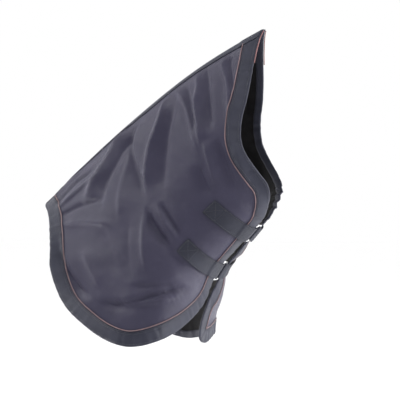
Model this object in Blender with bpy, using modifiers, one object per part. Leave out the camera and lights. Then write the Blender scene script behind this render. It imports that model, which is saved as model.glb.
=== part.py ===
# Detachable neck cover of a turnout rug, in metres, +Z up.
# +X runs toward the horse's head, -Y is the horse's right side, +Y its left.
# The cover is two leaves that meet along the crest: each leaf is a shell, a
# lining, a wide folded edge binding and piping; two ring-and-strap fastenings
# close the leaves along the underline.
import math

import bmesh
import bpy
import numpy as np
from mathutils import Vector
from mathutils.bvhtree import BVHTree
from mathutils.geometry import delaunay_2d_cdt

for old in list(bpy.data.objects):
    bpy.data.objects.remove(old, do_unlink=True)

# ---------------------------------------------------------------- dimensions
# Neck form: one row per station along the neck.
# along, crest x, crest z, underline x, underline z, half width,
# lower fullness, squareness of the underline
STATIONS = np.array([
    (-0.40, -0.560, -0.370, 0.125, -0.950, 0.205, 0.15, 0.80),
    (-0.20, -0.440, -0.335, 0.155, -0.760, 0.192, 0.22, 0.90),
    (0.00, -0.329, -0.289, 0.177, -0.600, 0.168, 0.26, 0.85),
    (0.17, -0.214, -0.182, 0.212, -0.483, 0.142, 0.30, 0.60),
    (0.355, -0.089, -0.075, 0.308, -0.375, 0.120, 0.35, 0.25),
    (0.70, 0.145, 0.100, 0.360, -0.322, 0.100, 0.38, 0.00),
    (1.00, 0.349, 0.213, 0.388, -0.285, 0.078, 0.40, 0.00),
    (1.15, 0.450, 0.260, 0.410, -0.270, 0.075, 0.42, 0.00),
])
SEAT = 0.50                 # station of the crest point that is the origin
# Edge of a leaf as (along, degrees round from the crest).
FRONT_EDGE = [
    (1.000, 0.0), (0.988, 16.0), (0.972, 33.0), (0.953, 50.0), (0.934, 62.5),
    (0.900, 75.0), (0.853, 86.0), (0.832, 94.0), (0.822, 102.0), (0.850, 112.0),
    (0.881, 121.0), (0.944, 133.0), (0.982, 142.0), (0.971, 152.0),
    (0.922, 159.0),
]
CLOSURE_EDGE = [
    (0.790, 165.5), (0.620, 170.8), (0.450, 172.6), (0.330, 173.6),
    (0.240, 174.7), (0.165, 175.0),
]
HEM_RIGHT = [
    (0.115, 175.2), (0.076, 174.2), (0.043, 172.0), (-0.013, 165.0),
    (-0.063, 157.0), (-0.110, 148.0), (-0.156, 138.5), (-0.214, 126.0),
    (-0.250, 114.0), (-0.268, 100.0), (-0.262, 86.0), (-0.227, 77.0),
    (-0.175, 67.5), (-0.119, 60.5), (-0.051, 49.0), (0.001, 32.0),
    (0.009, 16.0), (0.010, 0.0),
]
HEM_LEFT = [
    (0.115, 177.0), (0.076, 180.5), (0.040, 183.3), (-0.013, 184.6),
    (-0.060, 185.4), (-0.092, 184.2), (-0.106, 179.5), (-0.104, 172.5),
    (-0.095, 165.5), (-0.098, 157.5), (-0.120, 149.0), (-0.158, 138.5),
    (-0.214, 126.0), (-0.250, 114.0), (-0.268, 100.0), (-0.262, 86.0), (-0.227, 77.0),
    (-0.175, 67.5), (-0.119, 60.5), (-0.051, 49.0), (0.001, 32.0),
    (0.009, 16.0), (0.010, 0.0),
]
CREST_CLEAR = 0.0040        # each leaf stops this far from the centre plane
EDGE_STEP = 0.038           # spacing of the points along an edge
CREST_STEP = 0.050
FILL_STEP = 0.062           # spacing of the points inside a leaf
STEPS_IN = (0.020, 0.040)   # rings of points inside every edge
CORNER_REACH = 0.22

SHELL_THICK = 0.0012
LINING_DROP = 0.0008
LINING_THICK = 0.0008
BIND_TOP = 0.0029           # outer face of the binding above the shell base
BIND_LOW = -0.0032          # inner face of the binding below the shell base
BIND_THICK = 0.0010
BIND_WRAP = 0.0025          # how far the binding stands past the edge
TAPE_LIFT = 0.0018
TAPE_THICK = 0.0010
TAPE_GAP = 0.0005           # half the gap between the two halves of the tape
PIPE_RADIUS = 0.0014
PIPE_IN = 0.0026            # piping centre inside the binding's inner edge
PIPE_LIFT = 0.0032
TRIM_RADIUS = 0.0015
TRIM_OUT = 0.0045           # poll trim centre past the edge
TRIM_START = 0.25
TRIM_LENGTH = 0.115

# Fastenings: station and turn at the sewn end, station at the ring
FASTENINGS = {"upper": (0.390, 121.5, 0.375), "lower": (0.215, 129.5, 0.182)}
BAND_HALF = 0.025
BAND_THICK = 0.0015
BAND_LIFT = 0.0036
BAND_LIFT_EDGE = 0.0066     # over the piping and the binding
EDGE_ZONE = 0.062           # width of that raised zone
BAND_ROWS = 13
RING_BAR = 0.0130           # bars stand this far from the centre plane
RING_HALF = 0.0300          # half length of a ring between bar centres
RING_WIRE = 0.0024
EYE_CLEAR = 0.0008
# distances from the left edge: the strap's rows, and those the pads span
STRAP_ROWS = (0.0, 0.018, 0.037, 0.056, 0.073, 0.090, 0.107, 0.115)
PAD_ROWS = STRAP_ROWS[3:7]
PAD_HALF = 0.022
PAD_LIFT = 0.0038
PAD_THICK = 0.0010
HOOK_LIFT = 0.0056
STRAP_LIFT = 0.0076

# ---------------------------------------------------------------- neck form


def through(knots, values, at):
    """Smooth curve through rows of values at the given knots."""
    slope = np.gradient(values, knots, axis=0, edge_order=2)
    seg = np.clip(np.searchsorted(knots, at) - 1, 0, len(knots) - 2)
    span = knots[seg + 1] - knots[seg]
    x = (at - knots[seg]) / span
    x = x[..., None]
    span = span[..., None]
    return ((2 * x**3 - 3 * x**2 + 1) * values[seg]
            + (x**3 - 2 * x**2 + x) * span * slope[seg]
            + (3 * x**2 - 2 * x**3) * values[seg + 1]
            + (x**3 - x**2) * span * slope[seg + 1])


SEAT_ROW = through(STATIONS[:, 0], STATIONS[:, 1:], np.array(SEAT))
SEAT_X = SEAT_ROW[0]
SEAT_Z = SEAT_ROW[1]


def form(along, turn):
    """Point on the neck form; turn runs 0 to 360 degrees from the crest,
    down the right side, across the underline and up the left side."""
    along = np.asarray(along, float)
    angle = np.radians(np.asarray(turn, float))
    row = through(STATIONS[:, 0], STATIONS[:, 1:], along)
    drop = (1 - np.cos(angle)) / 2
    x = row[..., 0] + (row[..., 2] - row[..., 0]) * drop
    z = row[..., 1] + (row[..., 3] - row[..., 1]) * drop
    y = -row[..., 4] * np.sin(angle) * (1 - row[..., 5] * np.cos(angle))
    y = y * (1 + row[..., 6] * drop**4)
    return np.stack([x - SEAT_X, y, z - SEAT_Z], -1)


def slopes(along, turn):
    ds = (form(along + 0.002, turn) - form(along - 0.002, turn)) / 0.004
    dt = (form(along, turn + 0.4) - form(along, turn - 0.4)) / 0.8
    return ds, dt


def outward(along, turn):
    ds, dt = slopes(along, turn)
    n = np.cross(dt, ds)
    return n / np.linalg.norm(n, axis=-1, keepdims=True)


def walk(along, turn, move, parts=10):
    """Follow the form from a point, starting along a short vector."""
    length = np.linalg.norm(move) / parts
    way = move / np.linalg.norm(move)
    for _ in range(parts):
        ds, dt = slopes(along, turn)
        grid = np.stack([ds, dt], -1)
        step = np.linalg.lstsq(grid, way, rcond=None)[0]
        way = grid @ step
        size = np.linalg.norm(way)
        way = way / size
        along = along + step[0] * length / size
        turn = turn + step[1] * length / size
    return along, turn


def crest_turn(along):
    """Turn angle at which a leaf stops short of the centre plane."""
    row = through(STATIONS[:, 0], STATIONS[:, 1:], np.asarray(along, float))
    return np.degrees(CREST_CLEAR / (row[..., 4] * (1 - row[..., 5])))


# ---------------------------------------------------------------- leaf layout


def even(path, step):
    """Points at even spacing along a smooth run of (along, turn) pairs."""
    path = np.array(path, float)
    spots = form(path[:, 0], path[:, 1])
    chord = np.concatenate([[0], np.cumsum(np.linalg.norm(np.diff(spots, axis=0), axis=1))])
    dense_at = np.linspace(0, chord[-1], 60 * len(path))
    dense = through(chord, path, dense_at)
    spots = form(dense[:, 0], dense[:, 1])
    run = np.concatenate([[0], np.cumsum(np.linalg.norm(np.diff(spots, axis=0), axis=1))])
    count = max(1, round(run[-1] / step))
    want = np.linspace(0, run[-1], count + 1)
    return np.stack([np.interp(want, run, dense[:, k]) for k in (0, 1)], -1), run[-1]


def leaf_layout(hem):
    """Edge points, inner rings and filled triangles of one leaf."""
    whole = FRONT_EDGE + CLOSURE_EDGE + hem
    edge, _ = even(whole, EDGE_STEP)
    crest, _ = even([(a, 0.0) for a in np.linspace(hem[-1][0], 1.0, 9)], CREST_STEP)
    loop = np.concatenate([edge, crest[1:-1]])
    loop[:, 1] = np.maximum(loop[:, 1], crest_turn(loop[:, 0]))
    n = len(loop)
    corners = (0, len(edge) - 1)
    spots = form(loop[:, 0], loop[:, 1])
    normal = outward(loop[:, 0], loop[:, 1])
    rings = [loop]
    inward = []
    for i in range(n):
        before = spots[i] - spots[i - 1]
        after = spots[(i + 1) % n] - spots[i]
        before = before / np.linalg.norm(before)
        after = after / np.linalg.norm(after)
        side_a = np.cross(before, normal[i])
        side_b = np.cross(after, normal[i])
        mean = side_a + side_b
        mean = mean / np.linalg.norm(mean)
        inward.append(mean / max(0.35, float(np.dot(mean, side_b))))
    # near a corner the points lean along the edge, away from the corner
    for c in corners:
        for way in (1, -1):
            total = 0.0
            k = c
            while True:
                step = spots[(k + way) % n] - spots[k]
                total += np.linalg.norm(step)
                k = (k + way) % n
                if total >= CORNER_REACH:
                    break
                along_edge = step / np.linalg.norm(step)
                lean = float(np.dot(inward[c], along_edge))
                inward[k] = inward[k] + along_edge * lean * (1 - total / CORNER_REACH)
    inward = np.array(inward)
    for reach in STEPS_IN:
        ring = [walk(loop[i, 0], loop[i, 1], inward[i] * reach) for i in range(n)]
        rings.append(np.array(ring))
    # fill inside the innermost ring
    def flat(p):
        return Vector((p[0] * 0.85, math.radians(p[1]) * 0.20))
    last = rings[-1]
    points = [flat(p) for p in last]
    inside = []
    low = last.min(axis=0)
    high = last.max(axis=0)
    gap_s = FILL_STEP / 0.85
    gap_t = math.degrees(FILL_STEP / 0.20)
    poly = [(p.x, p.y) for p in points]
    row = 0
    a = low[0] + gap_s * 0.5
    while a < high[0]:
        t = low[1] + gap_t * (0.5 if row % 2 else 0.0)
        while t < high[1]:
            q = flat((a, t))
            hits = 0
            near = 1e9
            for k in range(n):
                x0, y0 = poly[k]
                x1, y1 = poly[(k + 1) % n]
                if (y0 > q.y) != (y1 > q.y):
                    cut = x0 + (q.y - y0) / (y1 - y0) * (x1 - x0)
                    if q.x < cut:
                        hits += 1
                ex, ey = x1 - x0, y1 - y0
                f = ((q.x - x0) * ex + (q.y - y0) * ey) / (ex * ex + ey * ey)
                f = min(1.0, max(0.0, f))
                near = min(near, math.hypot(q.x - x0 - f * ex, q.y - y0 - f * ey))
            if hits % 2 and near > FILL_STEP * 0.48:
                inside.append((a, t))
            t += gap_t
        a += gap_s
        row += 1
    points += [flat(p) for p in inside]
    border = [(k, (k + 1) % n) for k in range(n)]
    out = delaunay_2d_cdt(points, border, [], 1, 1e-7)
    assert len(out[0]) == len(points)
    tris = [tuple(face) for face in out[2]]
    # whole leaf: ring 0, ring 1, ring 2, inside points
    places = np.concatenate(rings + ([np.array(inside)] if inside else []))
    shift = 2 * n
    faces = [tuple(v + shift for v in f) for f in tris]
    for level in (0, 1):
        for i in range(n):
            j = (i + 1) % n
            a0, b0 = level * n + i, level * n + j
            a1, b1 = a0 + n, b0 + n
            faces.append((a0, b0, b1))
            faces.append((a0, b1, a1))
    return dict(n=n, corner=corners[1], places=places, faces=faces, inward=inward)


def leaf_surface(layout, mirror):
    """Base points and vertex normals of a leaf, normals facing outward."""
    pts = form(layout["places"][:, 0], layout["places"][:, 1])
    way = outward(layout["places"][:, 0], layout["places"][:, 1])
    move = layout["inward"].copy()
    if mirror:
        pts[:, 1] *= -1
        way[:, 1] *= -1
        move[:, 1] *= -1
    bm = bmesh.new()
    verts = [bm.verts.new(p) for p in pts]
    for f in layout["faces"]:
        bm.faces.new([verts[k] for k in f])
    bm.normal_update()
    bm.verts.ensure_lookup_table()
    total = sum(float(np.dot(v.normal, way[k])) for k, v in enumerate(bm.verts))
    faces = layout["faces"]
    if total < 0:
        bmesh.ops.reverse_faces(bm, faces=bm.faces[:])
        bm.normal_update()
        faces = [tuple(reversed(f)) for f in faces]
    normal = np.array([tuple(v.normal) for v in bm.verts])
    bm.free()
    return dict(pts=pts, normal=normal, faces=faces, move=move,
                n=layout["n"], corner=layout["corner"])


# ---------------------------------------------------------------- objects
part_group = bpy.data.collections.new("turnout_rug_neck_cover")
bpy.context.scene.collection.children.link(part_group)


def material(name, colour, rough, metallic=0.0, sheen=0.0):
    mat = bpy.data.materials.new(name)
    mat.use_nodes = True
    shader = mat.node_tree.nodes["Principled BSDF"]
    shader.inputs["Base Color"].default_value = (*colour, 1.0)
    shader.inputs["Roughness"].default_value = rough
    shader.inputs["Metallic"].default_value = metallic
    shader.inputs["Sheen Weight"].default_value = sheen
    mat.diffuse_color = (*colour, 1.0)
    return mat


SHELL_LOOK = ((0.075, 0.070, 0.105), 0.62, 0.0, 0.2)
BIND_LOOK = ((0.060, 0.064, 0.088), 0.55, 0.0, 0.1)
LINING_LOOK = ((0.012, 0.010, 0.012), 0.80, 0.0, 0.0)
PIPE_LOOK = ((0.400, 0.190, 0.170), 0.45, 0.0, 0.1)
METAL_LOOK = ((0.750, 0.750, 0.760), 0.22, 1.0, 0.0)
WEB_LOOK = ((0.048, 0.052, 0.070), 0.60, 0.0, 0.1)
TOUCH_LOOK = ((0.015, 0.015, 0.018), 0.95, 0.0, 0.3)


def add_mesh(name, pts, faces, look):
    mesh = bpy.data.meshes.new(name)
    mesh.from_pydata([tuple(map(float, p)) for p in pts], [], [tuple(f) for f in faces])
    obj = bpy.data.objects.new(name, mesh)
    part_group.objects.link(obj)
    mesh.materials.append(material(name + "_material", *look))
    return obj


def closed_body(name, pts, faces, look):
    """Mesh with its faces turned outward."""
    obj = add_mesh(name, pts, faces, look)
    bm = bmesh.new()
    bm.from_mesh(obj.data)
    bmesh.ops.recalc_face_normals(bm, faces=bm.faces[:])
    bmesh.ops.triangulate(bm, faces=bm.faces[:])
    bm.to_mesh(obj.data)
    bm.free()
    return obj


def add_sheet(name, leaf, drop, thick, grow, look):
    """Open sheet parallel to the leaf, thickened by a Solidify modifier."""
    pts = leaf["pts"] - leaf["normal"] * drop
    obj = add_mesh(name, pts, leaf["faces"], look)
    mod = obj.modifiers.new("thickness", "SOLIDIFY")
    mod.thickness = thick
    mod.offset = grow
    mod.use_even_offset = False
    return obj


def add_tube(name, pts, radius, look, cyclic=False):
    curve = bpy.data.curves.new(name, "CURVE")
    curve.dimensions = "3D"
    curve.bevel_depth = radius
    curve.bevel_resolution = 1
    curve.use_fill_caps = not cyclic
    spline = curve.splines.new("POLY")
    spline.points.add(len(pts) - 1)
    for k, p in enumerate(pts):
        spline.points[k].co = (float(p[0]), float(p[1]), float(p[2]), 1.0)
    spline.use_cyclic_u = cyclic
    obj = bpy.data.objects.new(name, curve)
    part_group.objects.link(obj)
    curve.materials.append(material(name + "_material", *look))
    return obj


def sweep(rows, rings):
    """Side faces of a body from rows of section points; rings tells which
    ring of the leaf each section point lies on, so that the faces run
    parallel to those of the leaf."""
    m = len(rings)
    pts = np.concatenate([np.array(r) for r in rows])
    faces = []
    for r in range(len(rows) - 1):
        for k in range(m):
            j = (k + 1) % m
            a, b = r * m + k, r * m + j
            if rings[k] <= rings[j]:
                faces.append((a, b, b + m))
                faces.append((a, b + m, a + m))
            else:
                faces.append((a, b, a + m))
                faces.append((b, b + m, a + m))
    return pts, faces


def ribbon(name, outer, inner, look):
    """Closed body between two grids of points, rows by columns."""
    outer = np.array(outer)
    inner = np.array(inner)
    rows, cols = outer.shape[:2]
    pts = np.concatenate([outer.reshape(-1, 3), inner.reshape(-1, 3)])
    size = rows * cols
    faces = []
    for r in range(rows - 1):
        for c in range(cols - 1):
            a = r * cols + c
            b = a + 1
            d = a + cols
            e = d + 1
            faces.append((a, b, e, d))
            faces.append((a + size, d + size, e + size, b + size))
    for r in range(rows - 1):
        for c in (0, cols - 1):
            a = r * cols + c
            d = a + cols
            faces.append((a, d, d + size, a + size))
    for r in (0, rows - 1):
        for c in range(cols - 1):
            a = r * cols + c
            faces.append((a, a + 1, a + 1 + size, a + size))
    return closed_body(name, pts, faces, look)


# ---------------------------------------------------------------- leaf pieces


def leaf_point(leaf, i, ring, lift, past=0.0):
    """Point over edge position i (fractions allowed) on ring 0, 1 or 2."""
    n = leaf["n"]
    low = int(math.floor(i))
    part = i - low
    total = np.zeros(3)
    for k, weight in ((low % n, 1 - part), ((low + 1) % n, part)):
        if weight == 0:
            continue
        v = ring * n + k
        total += weight * (leaf["pts"][v] + leaf["normal"][v] * lift - leaf["move"][k] * past)
    return total


BIND_SECTION = [
    # ring, lift, distance past the edge
    (2, BIND_TOP, 0.0), (1, BIND_TOP, 0.0), (0, BIND_TOP, 0.0),
    (0, 0.0012, BIND_WRAP), (0, -0.0015, BIND_WRAP), (0, BIND_LOW, 0.0),
    (1, BIND_LOW, 0.0), (1, BIND_LOW + BIND_THICK, 0.0),
    (0, BIND_LOW + BIND_THICK, 0.0), (0, -0.0012, BIND_WRAP - BIND_THICK),
    (0, 0.0010, BIND_WRAP - BIND_THICK), (0, BIND_TOP - BIND_THICK, 0.0),
    (1, BIND_TOP - BIND_THICK, 0.0), (2, BIND_TOP - BIND_THICK, 0.0),
]


def add_binding(name, leaf, stations):
    rows = []
    for i in stations:
        rows.append([leaf_point(leaf, i, r, lift, past) for r, lift, past in BIND_SECTION])
    pts, faces = sweep(rows, [point[0] for point in BIND_SECTION])
    m = len(BIND_SECTION)
    last = (len(rows) - 1) * m
    # end caps: quads across the folded strip, outer face to inner face
    pairs = [(0, 13), (1, 12), (2, 11), (3, 10), (4, 9), (5, 8), (6, 7)]
    for (a, b), (c, d) in zip(pairs, pairs[1:]):
        faces.append((a, c, d, b))
        faces.append((last + a, last + b, last + d, last + c))
    return closed_body(name, pts, faces, BIND_LOOK)


def add_piping(name, leaf, stations):
    pts = []
    for i in stations:
        pts.append(leaf_point(leaf, i, 2, PIPE_LIFT, -PIPE_IN))
    return add_tube(name, pts, PIPE_RADIUS, PIPE_LOOK)


def add_tape(name, leaf, side, stations):
    rows = []
    for i in stations:
        row = []
        for lift in (TAPE_LIFT + TAPE_THICK, TAPE_LIFT):
            top = leaf_point(leaf, i, 0, lift)
            low = leaf_point(leaf, i, 1, lift)
            reach = (top[1] - side * TAPE_GAP) / (low[1] - top[1])
            row.append((top + (top - low) * reach, low))
        rows.append([row[0][1], row[0][0], row[1][0], row[1][1]])
    pts, faces = sweep(rows, [1, 0, 0, 1])
    last = (len(rows) - 1) * 4
    faces.append((0, 1, 2, 3))
    faces.append((last + 3, last + 2, last + 1, last))
    return closed_body(name, pts, faces, BIND_LOOK)


def stops(first, last, gap=0.03):
    """Whole positions from first to last, drawn in a little at both ends."""
    inner = [float(k) for k in range(int(first) + 1, int(last))]
    return [first + gap] + inner + [last - gap]


leaves = {}
for leaf_name, side, hem in (("right", -1, HEM_RIGHT), ("left", 1, HEM_LEFT)):
    layout = leaf_layout(hem)
    leaf = leaf_surface(layout, side > 0)
    leaves[leaf_name] = leaf
    last = leaf["corner"]
    add_sheet(leaf_name + "_shell", leaf, 0.0, SHELL_THICK, 1.0, SHELL_LOOK)
    add_sheet(leaf_name + "_lining", leaf, LINING_DROP, LINING_THICK, -1.0, LINING_LOOK)
    add_binding(leaf_name + "_edge_binding", leaf, stops(0.0, last))
    add_piping(leaf_name + "_piping", leaf, stops(0.0, last, 0.06))
    add_tape(leaf_name + "_crest_tape", leaf, side, stops(float(last), float(leaf["n"])))
    trim = []
    k = TRIM_START
    while k * EDGE_STEP < TRIM_LENGTH:
        trim.append(leaf_point(leaf, k, 0, 0.0, TRIM_OUT))
        k += 0.5
    add_tube(leaf_name + "_poll_trim", trim, TRIM_RADIUS, PIPE_LOOK)

# ---------------------------------------------------------------- fastenings


def arc_turns(along_a, along_b, turn_a, turn_b, count=60):
    """Dense (along, turn, distance) samples of a straight run over the form."""
    f = np.linspace(0, 1, count)
    along = along_a + (along_b - along_a) * f
    turn = turn_a + (turn_b - turn_a) * f
    pts = form(along, turn)
    run = np.concatenate([[0], np.cumsum(np.linalg.norm(np.diff(pts, axis=0), axis=1))])
    return along, turn, run


trees = {}
for leaf_name in leaves:
    leaf = leaves[leaf_name]
    spots = [Vector(p) for p in leaf["pts"]]
    trees[leaf_name] = BVHTree.FromPolygons(spots, leaf["faces"])


def edge_distance(leaf, spot):
    """Shortest distance from a point to the closure and hem edges."""
    best = 1.0
    rim = leaf["pts"][:leaf["corner"] + 1]
    for a, b in zip(rim, rim[1:]):
        f = float(np.dot(spot - a, b - a) / np.dot(b - a, b - a))
        f = min(1.0, max(0.0, f))
        best = min(best, float(np.linalg.norm(spot - a - (b - a) * f)))
    return best


def over_form(along, turn, across, lift, raised):
    """Point above a leaf, raised where piping and binding lie beneath."""
    ds, _ = slopes(along, turn)
    a = along + across / np.linalg.norm(ds)
    n = outward(a, turn)
    spot = form(a, turn)
    leaf_name = "right" if turn < 180 else "left"
    hit = trees[leaf_name].ray_cast(Vector(spot + n * 0.02), Vector(-n), 0.04)
    if hit[0] is not None:
        spot = np.array(hit[0])
    near = edge_distance(leaves[leaf_name], spot) < EDGE_ZONE
    return spot + n * (raised if near else lift)


def edge_turn(leaf_name, along):
    """Turn angle (0 to 180) of the closure edge at a station."""
    rows = np.array(FRONT_EDGE[-1:] + CLOSURE_EDGE + HEM_RIGHT[:1])
    order = np.argsort(rows[:, 0])
    return float(np.interp(along, rows[order, 0], rows[order, 1]))


COLUMNS = (-1.0, 0.0, 1.0)

for label, (sewn, sewn_turn, ring_at) in FASTENINGS.items():
    # local frame at the underline
    centre = form(ring_at, 180.0)
    length_way = form(ring_at + 0.02, 180.0) - form(ring_at - 0.02, 180.0)
    length_way = length_way / np.linalg.norm(length_way)
    across_way = np.array([0.0, 1.0, 0.0])
    out_way = np.cross(length_way, across_way)
    if np.dot(out_way, outward(ring_at, 180.0)) < 0:
        out_way = -out_way

    def at_ring(v, y, z):
        return centre + length_way * v + across_way * y + out_way * z

    # ring: one rounded rectangle of wire
    fillet = 0.0045
    loop = []
    for cx, cy, start in ((1, 1, 0), (-1, 1, 90), (-1, -1, 180), (1, -1, 270)):
        for turn in (0, 45, 90):
            ang = math.radians(start + turn)
            loop.append(at_ring(cx * (RING_HALF - fillet) + fillet * math.cos(ang),
                                cy * (RING_BAR - fillet) + fillet * math.sin(ang), 0.0))
    add_tube(label + "_ring", loop, RING_WIRE, METAL_LOOK, cyclic=True)

    eye_in = RING_WIRE + EYE_CLEAR
    eye_out = eye_in + BAND_THICK
    edge_deg = edge_turn("right", ring_at)

    # chape: sewn band on the right leaf, folded round the ring's inner bar
    along, turn, run = arc_turns(sewn, ring_at, sewn_turn, edge_deg)
    outer = []
    inner = []
    for dist in np.linspace(0.0, run[-1], BAND_ROWS):
        a = float(np.interp(dist, run, along))
        t = float(np.interp(dist, run, turn))
        low = [over_form(a, t, c * BAND_HALF, BAND_LIFT, BAND_LIFT_EDGE) for c in COLUMNS]
        high = [over_form(a, t, c * BAND_HALF, BAND_LIFT + BAND_THICK,
                          BAND_LIFT_EDGE + BAND_THICK) for c in COLUMNS]
        inner.append(low)
        outer.append(high)
    for deg in (90, 45, 0, -45, -90):
        ang = math.radians(deg)
        y_in, z_in = -RING_BAR + eye_in * math.cos(ang), eye_in * math.sin(ang)
        y_out, z_out = -RING_BAR + eye_out * math.cos(ang), eye_out * math.sin(ang)
        inner.append([at_ring(c * BAND_HALF, y_in, z_in) for c in COLUMNS])
        outer.append([at_ring(c * BAND_HALF, y_out, z_out) for c in COLUMNS])
    inner.append([at_ring(c * BAND_HALF, -RING_BAR - 0.003, -eye_in) for c in COLUMNS])
    outer.append([at_ring(c * BAND_HALF, -RING_BAR - 0.003, -eye_out) for c in COLUMNS])
    ribbon(label + "_chape", outer, inner, WEB_LOOK)

    # strap: folded round the ring's outer bar, reaching over the left leaf
    outer = []
    inner = []
    inner.append([at_ring(c * BAND_HALF, RING_BAR + 0.003, -eye_in) for c in COLUMNS])
    outer.append([at_ring(c * BAND_HALF, RING_BAR + 0.003, -eye_out) for c in COLUMNS])
    for deg in (-90, -45, 0, 45, 90):
        ang = math.radians(deg)
        y_in, z_in = RING_BAR - eye_in * math.cos(ang), eye_in * math.sin(ang)
        y_out, z_out = RING_BAR - eye_out * math.cos(ang), eye_out * math.sin(ang)
        inner.append([at_ring(c * BAND_HALF, y_in, z_in) for c in COLUMNS])
        outer.append([at_ring(c * BAND_HALF, y_out, z_out) for c in COLUMNS])
    along, turn, run = arc_turns(ring_at, sewn, 360.0 - edge_deg, 360.0 - sewn_turn)
    for dist in STRAP_ROWS:
        a = float(np.interp(dist, run, along))
        t = float(np.interp(dist, run, turn))
        low = [over_form(a, t, c * BAND_HALF, STRAP_LIFT, STRAP_LIFT) for c in COLUMNS]
        high = [over_form(a, t, c * BAND_HALF, STRAP_LIFT + BAND_THICK,
                          STRAP_LIFT + BAND_THICK) for c in COLUMNS]
        inner.append(low)
        outer.append(high)
    ribbon(label + "_strap", outer, inner, WEB_LOOK)

    # touch fastener: loop pad on the left shell, hook pad under the strap
    for pad, lift in (("_loop_pad", PAD_LIFT), ("_hook_pad", HOOK_LIFT)):
        outer = []
        inner = []
        for dist in PAD_ROWS:
            a = float(np.interp(dist, run, along))
            t = float(np.interp(dist, run, turn))
            high = lift + PAD_THICK
            inner.append([over_form(a, t, c * PAD_HALF, lift, lift) for c in COLUMNS])
            outer.append([over_form(a, t, c * PAD_HALF, high, high) for c in COLUMNS])
        ribbon(label + pad, outer, inner, TOUCH_LOOK)
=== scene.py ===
import math

import bmesh
import bpy
import numpy as np
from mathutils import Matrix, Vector
from mathutils.geometry import delaunay_2d_cdt
from mathutils.noise import noise


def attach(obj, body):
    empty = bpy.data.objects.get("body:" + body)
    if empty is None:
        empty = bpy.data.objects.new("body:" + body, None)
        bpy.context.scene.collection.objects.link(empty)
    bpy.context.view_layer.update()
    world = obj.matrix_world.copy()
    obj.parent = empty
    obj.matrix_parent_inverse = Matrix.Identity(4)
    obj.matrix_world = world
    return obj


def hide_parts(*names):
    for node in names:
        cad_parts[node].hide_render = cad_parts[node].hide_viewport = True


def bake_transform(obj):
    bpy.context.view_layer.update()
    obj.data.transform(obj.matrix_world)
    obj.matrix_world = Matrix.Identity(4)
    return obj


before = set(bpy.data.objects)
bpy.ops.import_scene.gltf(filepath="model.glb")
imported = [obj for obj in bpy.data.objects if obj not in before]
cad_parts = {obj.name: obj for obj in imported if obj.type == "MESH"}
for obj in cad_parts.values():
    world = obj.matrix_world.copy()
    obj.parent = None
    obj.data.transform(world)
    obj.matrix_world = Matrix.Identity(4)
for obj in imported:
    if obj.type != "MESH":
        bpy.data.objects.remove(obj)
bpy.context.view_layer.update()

# ---- dimensions
# Neck form, one row per station: along, crest x, crest z, underline x,
# underline z, half width, lower fullness, squareness of the underline
STATIONS = np.array([
    (-0.40, -0.560, -0.370, 0.125, -0.950, 0.205, 0.15, 0.80),
    (-0.20, -0.440, -0.335, 0.155, -0.760, 0.192, 0.22, 0.90),
    (0.00, -0.329, -0.289, 0.177, -0.600, 0.168, 0.26, 0.85),
    (0.17, -0.214, -0.182, 0.212, -0.483, 0.142, 0.30, 0.60),
    (0.355, -0.089, -0.075, 0.308, -0.375, 0.120, 0.35, 0.25),
    (0.70, 0.145, 0.100, 0.360, -0.322, 0.100, 0.38, 0.00),
    (1.00, 0.349, 0.213, 0.388, -0.285, 0.078, 0.40, 0.00),
    (1.15, 0.450, 0.260, 0.410, -0.270, 0.075, 0.42, 0.00),
])
SEAT = 0.50  # station of the crest point that is the origin
# Edge of a leaf in the chart: poll to throat, down the closure, back hem.
FRONT_EDGE = [
    (1.000, 0.0), (0.988, 16.0), (0.972, 33.0), (0.953, 50.0), (0.934, 62.5),
    (0.900, 75.0), (0.853, 86.0), (0.832, 94.0), (0.822, 102.0), (0.850, 112.0),
    (0.881, 121.0), (0.944, 133.0), (0.982, 142.0), (0.971, 152.0),
    (0.922, 159.0),
]
CLOSURE_EDGE = [
    (0.790, 165.5), (0.620, 170.8), (0.450, 172.6), (0.330, 173.6),
    (0.240, 174.7), (0.165, 175.0),
]
HEM_BACK = [
    (-0.214, 126.0), (-0.250, 114.0), (-0.268, 100.0), (-0.262, 86.0),
    (-0.227, 77.0), (-0.175, 67.5), (-0.119, 60.5), (-0.051, 49.0),
    (0.001, 32.0), (0.009, 16.0), (0.010, 0.0),
]
HEM_RIGHT = [
    (0.115, 175.2), (0.076, 174.2), (0.043, 172.0), (-0.013, 165.0),
    (-0.063, 157.0), (-0.110, 148.0), (-0.156, 138.5),
] + HEM_BACK
HEM_LEFT = [
    (0.115, 177.0), (0.076, 180.5), (0.040, 183.3), (-0.013, 184.6),
    (-0.060, 185.4), (-0.092, 184.2), (-0.106, 179.5), (-0.104, 172.5),
    (-0.095, 165.5), (-0.098, 157.5), (-0.120, 149.0), (-0.158, 138.5),
] + HEM_BACK
CREST_CLEAR = 0.0040  # half of the gap between the leaves on the crest
EDGE_STEP = 0.038  # spacing of the layout's points on the free edge
CREST_STEP = 0.050  # and on the crest
RING_STEP = 0.020  # spacing of the layout's inner rings
CORNER_REACH = 0.22  # rings lean into a corner from this far
CORNER_FADE = 0.13  # sewn strips run square to the edge from here
PIPE_ENDS = (0.75, 0.60)  # layout steps the piping stops short of the crest
BIND_END = 0.03  # layout steps the binding stops short of the crest
TAPE_RISE = 0.0015  # of the crest tape where it covers the binding,
TAPE_COVER = 0.085  # this near its ends,
TAPE_SOFT = 0.015  # over this distance
MITRE_LIMIT = 0.35  # least cosine between a corner's rings and its sides
EDGE_FINE = 6  # fine points to each layout point on the edge
CREST_FINE = 8
FILL_STEP = 0.0052  # spacing of the cloth mesh inside the binding
ALONG_LENGTH = 0.85  # metres per unit along, for the cloth mesh and weave
NECK_RADIUS = 0.20  # metres per radian of turn, for the cloth mesh
TURN_LENGTH = 0.0040  # metres per degree of turn, for the weave
BAND_REACH = 0.040  # width of the edge binding

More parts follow.
